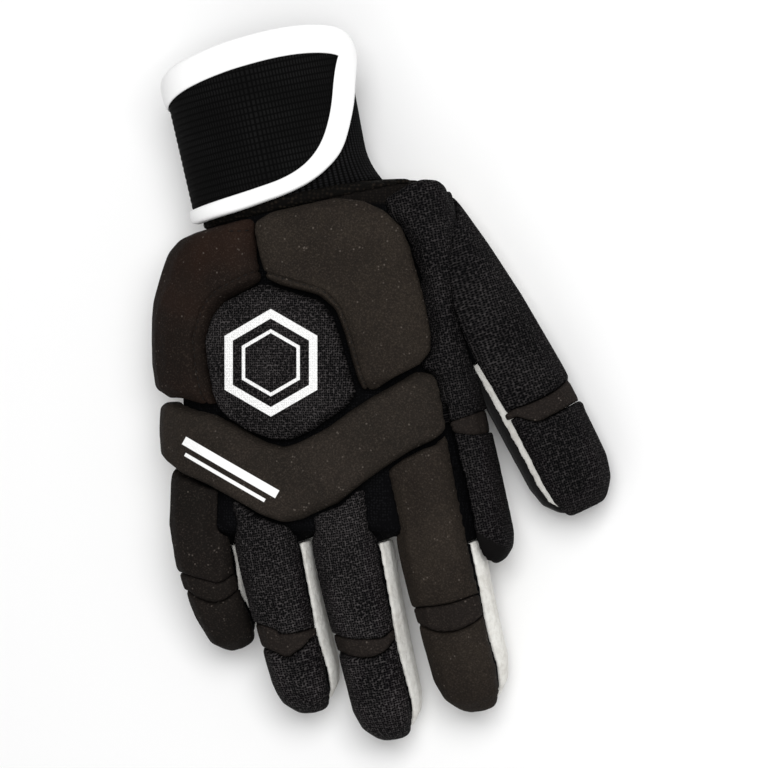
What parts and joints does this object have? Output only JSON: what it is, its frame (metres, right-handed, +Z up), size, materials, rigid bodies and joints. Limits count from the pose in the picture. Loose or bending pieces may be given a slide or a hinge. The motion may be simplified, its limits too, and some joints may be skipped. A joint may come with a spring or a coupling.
{
  "type": "roller hockey glove",
  "caption": "Right-hand padded roller hockey glove with segmented back-of-hand and finger pads, a thumb and index guard, a pale palm, a stretch cuff and a wrapped wrist strap",
  "frame": {"origin": "under the middle of the glove's bounding box, on the surface that its palm rests on", "axes": "+Z up through the back of the hand, -Y along the fingers, +Y out of the cuff, +X to the thumb's side"},
  "size_m": [0.1806, 0.2782, 0.0558],
  "materials": {
    "palm_suede": "pale grey synthetic suede, matte",
    "black_suede": "black synthetic suede, matte",
    "knit_liner": "black knit lining cloth, matte",
    "mesh_pad": "black knitted mesh over foam, fine pale threads",
    "soft_pad": "brown-black smooth woven nylon over foam, matte",
    "elastic_knit": "black lengthwise-ribbed cuff knit, matte",
    "strap_elastic": "black elastic webbing with ribs round the wrist, matte",
    "white_binding": "smooth white edge binding, satin"
  },
  "bodies": {
    "root": {"palm": "palm_suede", "back_liner": "knit_liner", "pinky_front": "palm_suede", "pinky_back": "knit_liner", "pinky_pad": "soft_pad", "pinky_flex_band": "soft_pad", "pinky_tip_pad": "soft_pad", "ring_front": "palm_suede", "ring_back": "knit_liner", "ring_pad": "mesh_pad", "ring_flex_band": "soft_pad", "ring_tip_pad": "mesh_pad", "middle_front": "palm_suede", "middle_back": "knit_liner", "middle_pad": "mesh_pad", "middle_flex_band": "soft_pad", "middle_tip_pad": "mesh_pad", "index_front": "palm_suede", "index_back": "knit_liner", "index_pad": "soft_pad", "index_flex_band": "soft_pad", "index_tip_pad": "soft_pad", "thumb_palm": "black_suede", "thumb_strip": "palm_suede", "thumb_back": "knit_liner", "upper_left_pad": "soft_pad", "upper_right_pad": "soft_pad", "centre_pad": "mesh_pad", "knuckle_pad": "soft_pad", "guard_pad": "mesh_pad", "guard_flex_band": "soft_pad", "guard_tip_pad": "mesh_pad", "thumb_pad": "mesh_pad", "thumb_flex_band": "soft_pad", "thumb_tip_pad": "mesh_pad", "wrist_cuff": "elastic_knit", "cuff_collar": "elastic_knit", "wrist_strap": "strap_elastic", "strap_binding": "white_binding"}
  },
  "joints": []
}
